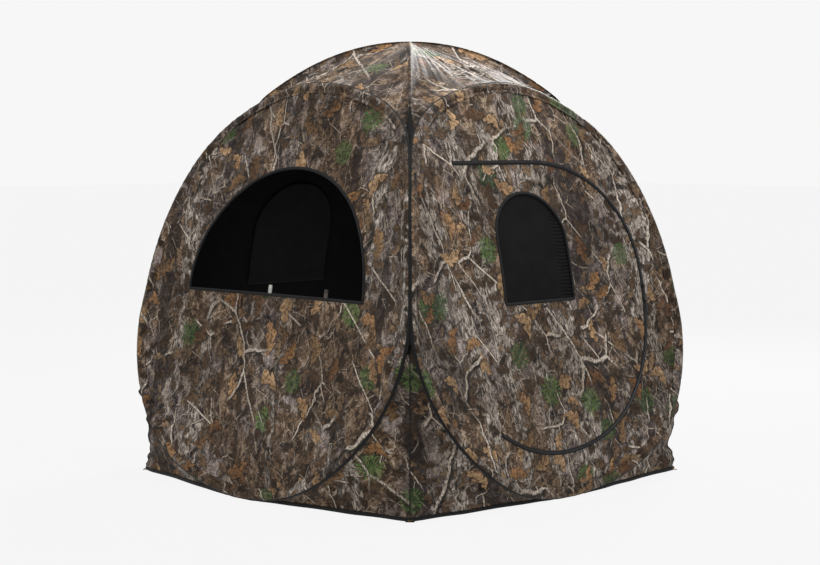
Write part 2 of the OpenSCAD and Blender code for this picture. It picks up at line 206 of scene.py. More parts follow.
def noise(x, y, seed=0):
    """Smooth gradient noise in about -0.7 to 0.7."""
    x, y = np.asarray(x, float) + 31.7 * seed, np.asarray(y, float) + 17.3 * seed
    xi, yi = np.floor(x).astype(int), np.floor(y).astype(int)
    fx, fy = x - xi, y - yi
    ux, uy = fx * fx * fx * (fx * (fx * 6 - 15) + 10), fy * fy * fy * (fy * (fy * 6 - 15) + 10)

    def dot(i, j):
        a = TABLE[(xi + i) % 256, (yi + j) % 256]
        return np.cos(a) * (fx - i) + np.sin(a) * (fy - j)

    low = dot(0, 0) * (1 - ux) + dot(1, 0) * ux
    high = dot(0, 1) * (1 - ux) + dot(1, 1) * ux
    return low * (1 - uy) + high * uy


def smooth(a, b, x):
    t = np.clip((np.asarray(x, float) - a) / (b - a), 0, 1)
    return t * t * (3 - 2 * t)


# ---------------------------------------------------------------- shader helpers
class Nodes:
    """Builds a material's nodes with short calls."""

    def __init__(self, name):
        self.material = bpy.data.materials.new(name)
        self.material.use_nodes = True
        self.tree = self.material.node_tree
        self.shader = self.tree.nodes["Principled BSDF"]

    def new(self, kind):
        return self.tree.nodes.new("ShaderNode" + kind)

    def put(self, socket, value):
        if isinstance(value, bpy.types.NodeSocket):
            self.tree.links.new(value, socket)
        elif value is not None:
            socket.default_value = value

    def colour(self, socket, value):
        self.put(socket, value if isinstance(value, bpy.types.NodeSocket) else (*value, 1))

    def math(self, op, a, b=None, c=None, clamp=False):
        n = self.new("Math")
        n.operation, n.use_clamp = op, clamp
        for i, v in enumerate((a, b, c)):
            self.put(n.inputs[i], v)
        return n.outputs[0]

    def times(self, a, b):
        return self.math("MULTIPLY", a, b)

    def plus(self, a, b):
        return self.math("ADD", a, b)

    def minus(self, a, b):
        return self.math("SUBTRACT", a, b)

    def scaled(self, x, by, plus):
        return self.math("MULTIPLY_ADD", x, by, plus)

    def zoomed(self, v, scale):
        return self.vector("SCALE", v, scale=scale)

    def vector(self, op, a, b=None, scale=None):
        n = self.new("VectorMath")
        n.operation = op
        self.put(n.inputs[0], a)
        self.put(n.inputs[1], b)
        if scale is not None:
            self.put(n.inputs["Scale"], scale)
        return n.outputs[1 if op in ("LENGTH", "DOT_PRODUCT", "DISTANCE") else 0]

    def split(self, v):
        n = self.new("SeparateXYZ")
        self.put(n.inputs[0], v)
        return n.outputs

    def join(self, x, y, z=0.0):
        n = self.new("CombineXYZ")
        for i, v in enumerate((x, y, z)):
            self.put(n.inputs[i], v)
        return n.outputs[0]

    def mix(self, factor, a, b, blend="MIX"):
        n = self.new("Mix")
        n.data_type, n.blend_type = "RGBA", blend
        self.put(n.inputs[0], factor)
        self.colour(n.inputs[6], a)
        self.colour(n.inputs[7], b)
        return n.outputs[2]

    def noise(self, v, scale, detail=3.0, rough=0.5, distortion=0.0):
        n = self.new("TexNoise")
        n.noise_dimensions = "3D"
        self.put(n.inputs["Vector"], v)
        for key, x in zip(("Scale", "Detail", "Roughness", "Distortion"), (scale, detail, rough, distortion)):
            n.inputs[key].default_value = x
        return n.outputs[0]

    def voronoi(self, v, scale, feature="F1", random=1.0):
        n = self.new("TexVoronoi")
        n.voronoi_dimensions, n.feature = "2D", feature
        self.put(n.inputs["Vector"], v)
        n.inputs["Scale"].default_value = scale
        n.inputs["Randomness"].default_value = random
        return n.outputs

    def ramp(self, x, stops, ease="LINEAR"):
        n = self.new("ValToRGB")
        n.color_ramp.interpolation = ease
        while len(n.color_ramp.elements) < len(stops):
            n.color_ramp.elements.new(0.5)
        for e, (at, c) in zip(n.color_ramp.elements, stops):
            e.position, e.color = at, (*c, 1)
        self.put(n.inputs[0], x)
        return n.outputs[0]

    def band(self, x, low, high):
        """0 at low and 1 at high, smoothly; low may be the larger."""
        n = self.new("MapRange")
        n.interpolation_type, n.clamp = "SMOOTHSTEP", True
        self.put(n.inputs["Value"], x)
        self.put(n.inputs["From Min"], low)
        self.put(n.inputs["From Max"], high)
        return n.outputs[0]

    def bump(self, height, strength, distance, under=None):
        n = self.new("Bump")
        n.inputs["Strength"].default_value = strength
        n.inputs["Distance"].default_value = distance
        self.put(n.inputs["Height"], height)
        if under is not None:
            self.put(n.inputs["Normal"], under)
        return n.outputs[0]

    def cloth(self):
        """The print's own coordinates in metres, which every cloth mesh carries."""
        n = self.new("Attribute")
        n.attribute_name = "cloth"
        return n.outputs["Vector"]

    def finish(self, base, rough=0.8, normal=None, **values):
        self.colour(self.shader.inputs["Base Color"], base)
        self.put(self.shader.inputs["Roughness"], rough)
        if normal is not None:
            self.put(self.shader.inputs["Normal"], normal)
        for k, v in values.items():
            self.shader.inputs[k.replace("_", " ")].default_value = v
        return self.material


def weave(n, pitch=0.0009):
    """Height of a plain weave."""
    x, y, _ = n.split(n.cloth())
    wave = [n.math("SINE", n.times(c, math.pi / pitch)) for c in (x, y)]
    return n.times(wave[0], wave[1])


def rgb(r, g, b):
    """A colour given as it looks on screen, 0 to 255."""
    return tuple((c / 255) ** 2.2 for c in (r, g, b))


def leaf_layer(n, base, at, cell, length, width, share, lobes, colours, shift):
    """Scatters leaves over a colour: one to a cell, each at its own place, turn, size and hue."""
    v = n.vector("ADD", n.zoomed(at, 1 / cell), shift)
    spots = n.voronoi(v, 1.0, random=0.95)
    r, g, b = n.split(spots["Color"])
    dx, dy, _ = n.split(n.vector("SCALE", n.vector("SUBTRACT", v, spots["Position"]), scale=cell))
    turn = n.times(r, 2 * math.pi)
    c, s = n.math("COSINE", turn), n.math("SINE", turn)
    size = n.scaled(g, 0.6, 0.7)
    a = n.math("DIVIDE", n.plus(n.times(dx, c), n.times(dy, s)), size)
    o = n.math("DIVIDE", n.minus(n.times(dy, c), n.times(dx, s)), size)
    x = n.math("DIVIDE", a, length / 2)
    o = n.plus(o, n.times(n.times(x, x), n.scaled(b, width, -width / 2)))
    round_it = n.minus(1.0, n.times(x, x))
    body = n.math("POWER", n.math("MAXIMUM", round_it, 0.0), 0.75)
    taper = n.scaled(x, 0.25, 0.85)
    side = n.math("ABSOLUTE", o)
    other = n.times(n.math("GREATER_THAN", o, 0.0), 0.9)
    swept = n.scaled(side, -1.1 / width, x)
    run = n.plus(n.scaled(swept, lobes * 0.5, other), n.times(b, 6.0))
    lobe = n.math("POWER", n.math("ABSOLUTE", n.math("SINE", run)), 0.7)
    ragged = n.scaled(n.noise(at, 110.0, 2.0), 0.012, -0.006)
    half = n.times(n.times(body, taper),
                  n.scaled(lobe, width * 0.36, width * 0.12))
    half = n.plus(half, ragged)
    gap = n.minus(half, side)
    there = n.math("GREATER_THAN", share, b)
    leaf = n.times(n.band(gap, 0.0, 0.0012), there)
    dark = n.times(n.band(gap, -0.012, 0.001), there)
    hue = n.ramp(n.math("FRACT", n.times(n.plus(r, b), 7.3)), colours, "LINEAR")
    shine = n.band(o, -width * 0.25, width * 0.25)
    hue = n.mix(n.times(shine, 0.55), hue, n.mix(1.0, hue, (0.42, 0.40, 0.38), "MULTIPLY"))
    mottle = n.noise(at, 75.0, 3.0, 0.65)
    hue = n.mix(n.band(mottle, 0.56, 0.40), hue, n.mix(1.0, hue, (0.40, 0.36, 0.33), "MULTIPLY"))
    rib = n.times(n.band(side, 0.0014, 0.0004), 0.5)
    veins = n.math("SINE", n.times(n.minus(a, n.times(side, 0.8)), 900.0))
    hue = n.mix(n.times(n.band(veins, 0.5, 1.0), 0.25), hue, (0.05, 0.03, 0.015))
    hue = n.mix(rib, hue, (0.04, 0.025, 0.01))
    base = n.mix(n.times(dark, 0.72), base, (0.012, 0.009, 0.006))
    return n.mix(leaf, base, hue)


def twig_layer(n, base, at, cell, thick, keep, shift, light, dark):
    """Draws a broken net of pale twigs with a dark underside."""
    warp = n.noise(n.zoomed(at, 1.0), 3.2 / cell * 0.4, 3.0)
    v = n.vector("ADD", n.zoomed(at, 1 / cell), shift)
    v = n.vector("ADD", v, n.join(n.times(warp, 0.55), n.times(warp, -0.45)))
    x, y, _ = n.split(v)
    v = n.join(n.scaled(y, 0.28, x), n.times(y, 0.62))
    edge = n.voronoi(v, 1.0, "DISTANCE_TO_EDGE")["Distance"]
    under = n.voronoi(n.vector("ADD", v, (-thick / cell * 1.1, thick / cell * 0.8, 0)), 1.0,
                      "DISTANCE_TO_EDGE")["Distance"]
    where = n.noise(n.vector("ADD", v, (3.1, 8.7, 0)), 1.1, 1.0)
    there = n.band(where, keep - 0.02, keep + 0.05)
    line = n.times(n.band(edge, thick / cell, thick / cell * 0.45), there)
    shade = n.times(n.band(under, thick / cell * 1.7, thick / cell * 0.4), there)
    grain = n.noise(n.vector("MULTIPLY", at, (1, 0.35, 1)), 260.0, 2.0)
    bark = n.mix(n.band(grain, 0.42, 0.62), light, dark)
    base = n.mix(n.times(shade, 0.8), base, (0.01, 0.008, 0.006))
    return n.mix(line, base, bark)


def camo(name, lift=1.0):
    """Generic woodland print: bark and leaf litter, trunks, twigs, dry leaves and green sprigs."""
    n = Nodes(name)
    at = n.cloth()
    # Leaf litter and bark
    coarse = n.noise(at, 9.0, 4.0, 0.6, 0.6)
    fine = n.noise(n.vector("MULTIPLY", at, (1, 0.55, 1)), 42.0, 6.0, 0.68, 1.2)
    tone = n.scaled(coarse, 0.45, n.times(fine, 0.62))
    warm = n.ramp(tone, [(0.38, rgb(22, 17, 13)), (0.46, rgb(58, 44, 33)), (0.54, rgb(98, 78, 60)),
                         (0.61, rgb(134, 112, 92)), (0.72, rgb(172, 152, 132))])
    grey = n.ramp(tone, [(0.38, rgb(20, 17, 17)), (0.46, rgb(60, 52, 50)), (0.54, rgb(104, 93, 88)),
                         (0.61, rgb(140, 128, 122)), (0.72, rgb(184, 173, 166))])
    region = n.noise(at, 2.6, 3.0, 0.6, 0.5)
    litter = n.mix(n.band(region, 0.44, 0.56), warm, grey)
    # Crumpled ridges with dark cracks between them
    for stretch, scale in (((0.7, 1.25, 1), 22.0), ((0.5, 1.7, 1), 46.0)):
        swirl = n.noise(n.vector("MULTIPLY", at, stretch), scale, 4.0, 0.62, 2.2)
        crack = n.math("ABSOLUTE", n.minus(swirl, 0.5))
        litter = n.mix(n.times(n.band(crack, 0.030, 0.0), 0.75), litter, rgb(20, 16, 14))
        litter = n.mix(n.times(n.band(swirl, 0.60, 0.68), 0.6), litter, rgb(172, 158, 146))
    gaps = n.noise(n.vector("ADD", at, (4.0, 9.0, 0)), 12.0, 4.0, 0.66, 1.2)
    litter = n.mix(n.times(n.band(gaps, 0.55, 0.64), 0.82), litter, rgb(22, 18, 15))
    # Fine stalks in two directions
    for turn, shift in ((0.5, (2.0, 5.0, 0)), (-0.8, (7.0, 1.0, 0))):
        c, s = math.cos(turn), math.sin(turn)
        x, y, _ = n.split(at)
        across = n.plus(n.times(x, c), n.times(y, s))
        along = n.minus(n.times(y, c), n.times(x, s))
        v = n.vector("ADD", n.join(n.times(across, 75.0), n.times(along, 9.0)), shift)
        stalk = n.noise(v, 1.0, 2.0, 0.5, 0.6)
        litter = n.mix(n.times(n.band(stalk, 0.62, 0.70), 0.5), litter, rgb(156, 140, 120))
        litter = n.mix(n.times(n.band(stalk, 0.38, 0.30), 0.6), litter, rgb(20, 16, 13))
    # Upright trunks with rough bark
    x, y, _ = n.split(at)
    bend = n.noise(n.vector("MULTIPLY", at, (0.6, 1, 1)), 1.8, 2.0)
    tx = n.plus(x, n.scaled(bend, 0.28, n.times(y, 0.10)))
    trunk = n.noise(n.join(n.times(tx, 9.5), n.times(y, 0.45), 4.0), 1.0, 0.0)
    bark = n.noise(n.join(n.times(tx, 95.0), n.times(y, 38.0)), 1.0, 5.0, 0.66, 1.0)
    bark_hue = n.ramp(bark, [(0.38, rgb(34, 30, 27)), (0.47, rgb(88, 80, 73)),
                             (0.56, rgb(138, 128, 119)), (0.66, rgb(178, 168, 158))])
    on_trunk = n.times(n.band(trunk, 0.600, 0.615), n.band(coarse, 0.36, 0.46))
    print_hue = n.mix(n.times(n.band(trunk, 0.575, 0.61), 0.6), litter, rgb(18, 15, 12))
    print_hue = n.mix(n.times(n.band(trunk, 0.37, 0.35), 0.72), print_hue, rgb(34, 27, 25))
    print_hue = n.mix(on_trunk, print_hue, bark_hue)
    # Twigs, then leaves from the smallest to the largest, with sprigs between them
    pale, grey_bark = rgb(186, 174, 160), rgb(112, 100, 90)
    print_hue = twig_layer(n, print_hue, at, 0.075, 0.0016, 0.46, (5.2, 1.4, 0), rgb(160, 146, 130),
                           grey_bark)
    tans = [(0.0, rgb(78, 58, 42)), (0.3, rgb(128, 102, 75)), (0.55, rgb(170, 141, 108)),
            (0.8, rgb(140, 104, 70)), (1.0, rgb(100, 73, 52))]
    browns = [(0.0, rgb(48, 37, 29)), (0.5, rgb(90, 72, 56)), (1.0, rgb(130, 109, 88))]
    print_hue = leaf_layer(n, print_hue, at, 0.046, 0.050, 0.030, 0.50, 7.0, browns, (1.3, 7.7, 0))
    print_hue = leaf_layer(n, print_hue, at, 0.070, 0.076, 0.044, 0.36, 9.0, browns, (9.3, 2.1, 0))
    print_hue = sprig_layer(n, print_hue, at)
    print_hue = twig_layer(n, print_hue, at, 0.190, 0.0034, 0.50, (1.7, 6.4, 0), pale, grey_bark)
    print_hue = leaf_layer(n, print_hue, at, 0.125, 0.108, 0.062, 0.36, 8.5, tans, (4.1, 3.3, 0))
    print_hue = leaf_layer(n, print_hue, at, 0.160, 0.090, 0.056, 0.34, 9.5, tans, (2.7, 8.4, 0))
    print_hue = twig_layer(n, print_hue, at, 0.340, 0.0054, 0.55, (8.8, 2.9, 0), pale, rgb(92, 84, 78))
    # Wash: broad light and dark patches
    wash = n.noise(at, 3.1, 2.0)
    shaded = n.mix(1.0, print_hue, (0.62, 0.60, 0.58), "MULTIPLY")
    print_hue = n.mix(n.band(wash, 0.62, 0.36), print_hue, shaded)
    if lift != 1.0:
        print_hue = n.mix(1.0, print_hue, (lift, lift, lift), "MULTIPLY")
    crumple = n.noise(at, 22.0, 5.0, 0.6, 0.4)
    normal = n.bump(crumple, 0.35, 0.004)
    normal = n.bump(weave(n), 0.25, 0.0002, normal)
    rough = n.scaled(crumple, 0.15, 0.62)
    return n.finish(print_hue, rough, normal, Sheen_Weight=0.04, Sheen_Roughness=0.4,
                    Specular_IOR_Level=0.14)


def sprig_layer(n, base, at):
    """Green clusters of narrow leaves, one to a large cell and far apart."""
    cell = 0.20
    v = n.vector("ADD", n.zoomed(at, 1 / cell), (6.6, 3.9, 0))
    spots = n.voronoi(v, 1.0, random=0.9)
    r, g, b = n.split(spots["Color"])
    d = n.vector("SCALE", n.vector("SUBTRACT", v, spots["Position"]), scale=cell)
    dx, dy, _ = n.split(d)
    far = n.vector("LENGTH", d)
    turn = n.math("ARCTAN2", dy, dx)
    rag = n.noise(n.zoomed(at, 1.0), 60.0, 3.0)
    spokes = n.math("SINE", n.plus(n.times(turn, 19.0), n.times(rag, 16.0)))
    reach = n.scaled(n.times(spokes, g), 0.018, 0.042)
    inside = n.band(n.minus(reach, far), -0.004, 0.006)
    needles = n.band(n.plus(spokes, n.times(rag, 1.6)), 0.35, 0.9)
    there = n.math("GREATER_THAN", 0.24, b)
    mask = n.times(n.times(inside, needles), there)
    green = n.mix(r, rgb(44, 74, 40), rgb(88, 116, 62))
    green = n.mix(n.band(rag, 0.45, 0.65), green, rgb(24, 44, 26))
    base = n.mix(n.times(n.times(inside, there), 0.3), base, rgb(30, 36, 24))
    return n.mix(n.times(mask, 0.8), base, green)


def dark_cloth(name, hue, rough=0.85, crumple_size=18.0):
    """Black coated cloth: weave, crumple, and a colour that is patchy tone and painted shading of the crumple
    together.
    """
    n = Nodes(name)
    at = n.cloth()
    crumple_tone_and_shading = n.noise(at, crumple_size, 4.0, 0.6)
    # One noise makes both the crumple and the colour: patchy tone, and painted shading with the crumple's
    # hollows darker and its crests lighter
    base = n.mix(crumple_tone_and_shading, tuple(c * 0.6 for c in hue), tuple(c * 1.5 for c in hue))
    normal = n.bump(crumple_tone_and_shading, 0.4, 0.004)
    normal = n.bump(weave(n), 0.3, 0.0002, normal)
    return n.finish(base, n.scaled(crumple_tone_and_shading, 0.2, rough - 0.1), normal,
                    Sheen_Weight=0.01, Specular_IOR_Level=0.06)


def webbing(name, hue, pitch=0.0022):
    """Woven tape with ribs across it."""
    n = Nodes(name)
    x, _, _ = n.split(n.cloth())
    ribs = n.math("SINE", n.times(x, 2 * math.pi / pitch))
    wear = n.noise(n.cloth(), 55.0, 4.0, 0.6)
    base = n.mix(wear, tuple(c * 0.5 for c in hue), tuple(c * 1.9 for c in hue))
    # The valleys between the ribs are painted darker: painted shade in the grooves of the rib bump
    base = n.mix(n.band(ribs, -0.9, 0.2), tuple(c * 0.3 for c in hue), base)
    return n.finish(base, n.scaled(wear, 0.25, 0.65), n.bump(ribs, 0.5, 0.0005),
                    Sheen_Weight=0.04, Specular_IOR_Level=0.10)


def moulded(name, hue, rough=0.5, metal=0.0):
    """Moulded or cast hardware with fine grain and lighter worn patches at random."""
    n = Nodes(name)
    where = n.new("TexCoord").outputs["Object"]
    grain = n.noise(where, 900.0, 3.0)
    wear = n.noise(where, 90.0, 4.0, 0.6)
    base = n.mix(n.band(wear, 0.5, 0.75), hue, tuple(min(1, c * 1.6 + 0.01) for c in hue))
    return n.finish(base, n.scaled(wear, 0.25, rough - 0.1), n.bump(grain, 0.2, 0.0003),
                    Metallic=metal, Specular_IOR_Level=0.3)


def net(name):
    """Fine black knitted mesh, itself opaque: the dark inside seen through its holes is painted on as shade,
    and its folds get painted shading.
    """
    n = Nodes(name)
    x, y, _ = n.split(n.cloth())
    pitch = 0.0024
    a = n.math("SINE", n.times(n.plus(x, y), math.pi / pitch))
    b = n.math("SINE", n.times(n.minus(x, y), math.pi / pitch))
    knots = n.math("MAXIMUM", n.math("ABSOLUTE", a), n.math("ABSOLUTE", b))
    fold = n.noise(n.cloth(), 14.0, 3.0)
    # Broad lighter and darker patches: painted shading of the net's folds
    base = n.mix(fold, (0.003, 0.003, 0.003), (0.012, 0.012, 0.012))
    # The low spots of the knit are painted near-black: painted shade for the dark inside seen through the
    # holes
    base = n.mix(n.band(knots, 0.75, 1.0), (0.002, 0.002, 0.002), base)
    return n.finish(base, 0.9, n.bump(knots, 0.4, 0.0004), Specular_IOR_Level=0.08)


MAT = {
    "camo": camo("camo_cloth"),
    "sleeve": camo("camo_sleeve", 0.9),
    "inside": dark_cloth("black_backing", (0.005, 0.005, 0.005)),
    "cover": dark_cloth("black_cover", (0.010, 0.010, 0.011)),
    "tape": webbing("black_binding", (0.009, 0.009, 0.009)),
    "zip": webbing("zip_tape", (0.010, 0.010, 0.011), 0.0016),
    "coil": moulded("zip_coil", (0.012, 0.012, 0.013), 0.42),
    "plastic": moulded("black_plastic", (0.014, 0.014, 0.014), 0.5),
    "zinc": moulded("black_zinc", (0.02, 0.02, 0.02), 0.38, 0.6),
    "steel": moulded("spring_steel", (0.5, 0.5, 0.5), 0.3, 1.0),
    "brass": moulded("dull_brass", (0.35, 0.26, 0.12), 0.4, 1.0),
    "net": net("black_net"),
    "pale": webbing("pale_tape", (0.30, 0.29, 0.27)),
}


# ---------------------------------------------------------------- building cloth meshes
def cloth_area(grid, wrap=False):
    """Area of a grid of points: the cut's flat area before it wrinkles."""
    if wrap:
        grid = np.concatenate([grid, grid[:, :1]], 1)
    a, b = grid[1:, :-1] - grid[:-1, :-1], grid[:-1, 1:] - grid[:-1, :-1]
    return float(np.linalg.norm(np.cross(a, b), axis=2).sum())


def grid_object(name, grid, prints, materials, wrap=False, thick=CLOTH, outward=None, closed_rows=False):
    """An object from a grid of points, wound so that its normals point outward."""
    rows, cols = grid.shape[:2]
    index = np.arange(rows * cols).reshape(rows, cols)
    if wrap:
        index = np.concatenate([index, index[:, :1]], 1)
    if closed_rows:
        index = np.concatenate([index, index[:1]], 0)
    quads = np.stack([index[:-1, :-1], index[:-1, 1:], index[1:, 1:], index[1:, :-1]], -1).reshape(-1, 4)
    points = grid.reshape(-1, 3)
    if outward is not None:
        a, b = points[quads[:, 2]] - points[quads[:, 0]], points[quads[:, 3]] - points[quads[:, 1]]
        normal, middle = np.cross(a, b), points[quads].mean(1)
        if (normal * (middle - np.asarray(outward))).sum() < 0:
            quads = quads[:, ::-1]
    mesh = bpy.data.meshes.new(name)
    mesh.from_pydata(points.tolist(), [], quads.tolist())
    mesh.polygons.foreach_set("use_smooth", np.ones(len(mesh.polygons), bool))
    prints = np.asarray(prints, float).reshape(rows * cols, -1)
    if prints.shape[1] == 2:
        prints = np.concatenate([prints, np.zeros((len(prints), 1))], 1)
    mesh.attributes.new("cloth", "FLOAT_VECTOR", "POINT").data.foreach_set("vector", prints.ravel())
    for m in materials:
        mesh.materials.append(MAT[m])
    o = bpy.data.objects.new(name, mesh)
    bpy.context.collection.objects.link(o)
    if thick:
        solid = o.modifiers.new("thickness", "SOLIDIFY")
        solid.thickness, solid.offset = thick, -1
        solid.material_offset = len(materials) - 1
    return o


def heading(path):
    """Unit vectors along an open path."""
    along = np.gradient(path, axis=0)
    return along / np.linalg.norm(along, axis=1, keepdims=True)


def tape_profile(half, top, low, edge, crown):
    """The section of a flat tape or seam: half its width at the base and at the top, then three heights."""
    return [(-half, low), (-top, edge), (0, crown), (top, edge), (half, low)]


def facing_out(a, b, path):
    """The cross product of two directions, turned away from the blind's axis."""
    out = np.cross(a, b)
    return out * np.sign((out * path).sum(1, keepdims=True))


def strip(name, path, normals, profile, body="blind", material="tape",
          closed=False, prints=None, nodes=()):
    """Sweeps a closed profile of (across, out) points along a path; normals are (across, out) vectors."""
    across, out = normals
    grid = np.stack([path + across * a + out * b for a, b in profile], 0)
    run = np.concatenate([[0], np.cumsum(np.linalg.norm(np.diff(path, axis=0), axis=1))])
    around = np.concatenate([[0], np.cumsum(np.linalg.norm(np.diff(np.array(profile), axis=0), axis=1))])
    if prints is None:
        prints = np.stack(np.broadcast_arrays(run[None, :], around[:, None]), -1)
    else:
        prints = np.broadcast_to(prints, (len(profile),) + prints.shape)
    o = grid_object(name, grid, prints, [material], wrap=closed, thick=0, closed_rows=True)
    if not closed:
        close_ends(o, len(profile), len(path))
    tidy_normals(o)
    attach(o, body)
    if nodes:
        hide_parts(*nodes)
    return o


def close_ends(o, rows, cols):
    """Caps a swept strip's two ends."""
    b = bmesh.new()
    b.from_mesh(o.data)
    b.verts.ensure_lookup_table()
    for c in (0, cols - 1):
        b.faces.new([b.verts[r * cols + c] for r in range(rows)])
    b.to_mesh(o.data)
    b.free()


def tidy_normals(o):
    b = bmesh.new()
    b.from_mesh(o.data)
    bmesh.ops.recalc_face_normals(b, faces=b.faces)
    b.to_mesh(o.data)
    b.free()


def wall_frame(line, side, closed):
    """A line of a wall as points in the row frame, with its across and out directions."""
    drape = wall_wrinkles(line, side)
    path = on_wall(line, side, drape)
    out = on_wall(line, side, drape + 1.0) - path
    t = (np.roll(path, -1, 0) - np.roll(path, 1, 0)) if closed else np.gradient(path, axis=0)
    t = t / np.linalg.norm(t, axis=1, keepdims=True)
    across = np.cross(out, t)
    across = across / np.linalg.norm(across, axis=1, keepdims=True)
    return path, (across, out)


# Where each side's print starts, so that no two sides show the same patch
PRINT_SHIFT = [(0.0, 0.0), (3.1, 0.4), (6.3, 1.1), (9.7, 2.3)]


def distance(uz, line):
    """Distance of each point to a closed line."""
    flat = uz.reshape(-1, 2)
    out = np.full(len(flat), 9.0)
    for q in line:
        out = np.minimum(out, np.hypot(flat[:, 0] - q[0], flat[:, 1] - q[1]))
    return out.reshape(uz.shape[:-1])


HOOP_DOTS = hoop_line(150)
ZIP_DOTS = zip_line(90)


def wall_wrinkles(uz, side):
    """How far a wall's cloth stands out: slack, puckers at the hoop, and folds from the corners."""
    u, z = uz[..., 0], uz[..., 1]
    seed = 3 * side + 1
    edge = distance(uz, HOOP_DOTS)
    d = 0.0075 * noise(u * 2.6, z * 2.0, seed) + 0.0034 * noise(u * 7, z * 5, seed + 1)
    along = np.arctan2(z - 0.8, u)
    pucker = noise(along * 13, edge * 4, seed + 2) + 0.7 * noise(along * 30, edge * 9, seed + 3)
    d = d + 0.0100 * pucker * np.exp(-edge / 0.09) * smooth(0, 0.02, edge)
    for cu, cz, reach, size in ((0.60, 1.24, 0.55, 0.013), (-0.60, 1.24, 0.55, 0.013),
                                (0.70, 0.34, 0.42, 0.010), (-0.70, 0.34, 0.42, 0.010),
                                (0.0, 0.02, 0.30, 0.006)):
        far, turn = np.hypot(u - cu, z - cz), np.arctan2(z - cz, u - cu)
        folds = noise(turn * 6.5 + 2 * far, far * 1.6, seed + 4)
        d = d + size * folds * np.exp(-(far / reach) ** 2) * smooth(0.02, 0.14, far)
    d = d + 0.006 * noise(u * 1.5 + 3 * z, z * 11, seed + 5) * smooth(0.75, 0.30, z) * smooth(0, 0.05, edge)
    calm = distance(uz, resample(window_line() if side == 0 else small_line(side), 60, True))
    d = d * (0.3 + 0.7 * smooth(0.0, 0.10, calm)) * smooth(0.0, 0.03, edge)
    if side == 1:
        d = d * (0.12 + 0.88 * smooth(0.01, 0.09, distance(uz, ZIP_DOTS)))
    return d


def finished(o, body, slot_name, *nodes):
    if body:
        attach(o, body)
    if nodes:
        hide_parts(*nodes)
    return o


def length(path):
    return float(np.linalg.norm(np.diff(path, axis=0), axis=1).sum())


def wall_span(side, outline):
    """A piece of wall's width and height, measured over the smooth wall."""
    low, high = outline.min(0), outline.max(0)
    u, z = np.linspace(low[0], high[0], 200), np.linspace(low[1], high[1], 200)
    level = outline[outline[:, 0].argmax(), 1]
    across = np.stack([u, np.full_like(u, level)], -1)
    up = np.stack([np.full_like(z, (low[0] + high[0]) / 2), z], -1)
    return length(on_wall(across, side)), length(on_wall(up, side))


def sheet(grid, wrap, span=None):
    """Works out a cloth's area over its smooth grid, before wrinkles, and takes span as its width and length;
    none of these is kept.

    Without a span these are the longest sides of the grid's box."""
    low, high = grid.reshape(-1, 3).min(0), grid.reshape(-1, 3).max(0)
    wide, tall = span or sorted(high - low)[-2:]
    area = cloth_area(grid, wrap)


def ring_sheet(name, side, outer, inner, rows, body, *nodes, mats=("camo", "inside")):
    """Cloth between two closed lines of a wall."""
    t = np.linspace(0, 1, rows)[:, None, None]
    uz = outer[None] * (1 - t) + inner[None] * t
    grid = on_wall(uz, side, wall_wrinkles(uz, side))
    prints = uz + np.array(PRINT_SHIFT[side])
    o = grid_object(name, grid, prints, mats, wrap=True, outward=(0, 0, 0.7))
    finished(o, body, "camo_cloth", *nodes)
    sheet(on_wall(uz, side), True, span=wall_span(side, outer))
    return o


N_EDGE = 360  # points round each closed outline, so that rings between two of them are even


def walls():
    outer = shifted(hoop_line(N_EDGE), 0.006)
    opening = resample(window_line(), N_EDGE, True)
    ring_sheet("wall_front_cloth", 0, outer, opening, 56, "blind", "wall_front")
    ring_sheet("wall_right_cloth", 1, outer, resample(door_line(), N_EDGE, True), 40, "blind", "wall_right")
    for side in (2, 3):
        ring_sheet(f"wall_{SIDES[side]}_cloth", side, outer, resample(small_line(side), N_EDGE, True), 60,
                   "blind", f"wall_{SIDES[side]}")
    door = ring_sheet("door_cloth", 1, resample(door_line(), N_EDGE, True),
                      resample(small_line(1), N_EDGE, True), 44, None, "door_panel")
    fold = float(wall_w(-DOOR_FOLD, DOOR_Z, 1))
    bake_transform(door)


def sleeves():
    """The sewn channel over each hoop: a flat hem on the wall, a round over the rod and a bound edge."""
    hoop = hoop_line(N_EDGE)
    profile = [(0.034, 0.0014), (0.0335, 0.0022), (0.026, 0.0024), (0.0225, 0.0008), (0.0205, 0.0026),
               (0.015, 0.0062), (0.008, 0.0092), (0.001, 0.0096), (-0.0045, 0.0076), (-0.0078, 0.0036),
               (-0.0086, -0.0010), (-0.0060, -0.0056), (0.001, -0.0072), (0.010, -0.0050), (0.016, -0.0020),
               (0.034, -0.0010)]
    for side in range(4):
        path, normals = wall_frame(hoop, side, True)
        ripple = 1 + 0.22 * noise(np.arange(N_EDGE) / 4.3, np.zeros(N_EDGE), side)
        normals = (normals[0], normals[1] * ripple[:, None])
        prints = np.stack([hoop + left_of(hoop, True) * a + np.array(PRINT_SHIFT[side]) + 0.43
                           for a, _ in profile], 0)
        across, out = normals
        grid = np.stack([path + across * a + out * b for a, b in profile], 0)
        o = grid_object(f"sleeve_{SIDES[side]}_cloth", grid, prints, ["sleeve"], wrap=True, thick=0,
                        closed_rows=True)
        tidy_normals(o)
        finished(o, "blind", "sleeve_cloth", f"sleeve_{SIDES[side]}")
        binding = [(-0.0074, 0.0046), (-0.0098, 0.0040), (-0.0116, 0.0015), (-0.0118, -0.0040),
                   (-0.0100, -0.0085), (-0.0070, -0.0080)]
        strip(f"sleeve_{SIDES[side]}_binding", path, normals, binding, closed=True)


def groove(t):
    """Depth of the fold that runs up a corner between two hoops, at share t of the way to the peak."""
    return 0.062 * smooth(-0.10, 0.07, t) * smooth(0.37, 0.17, t)


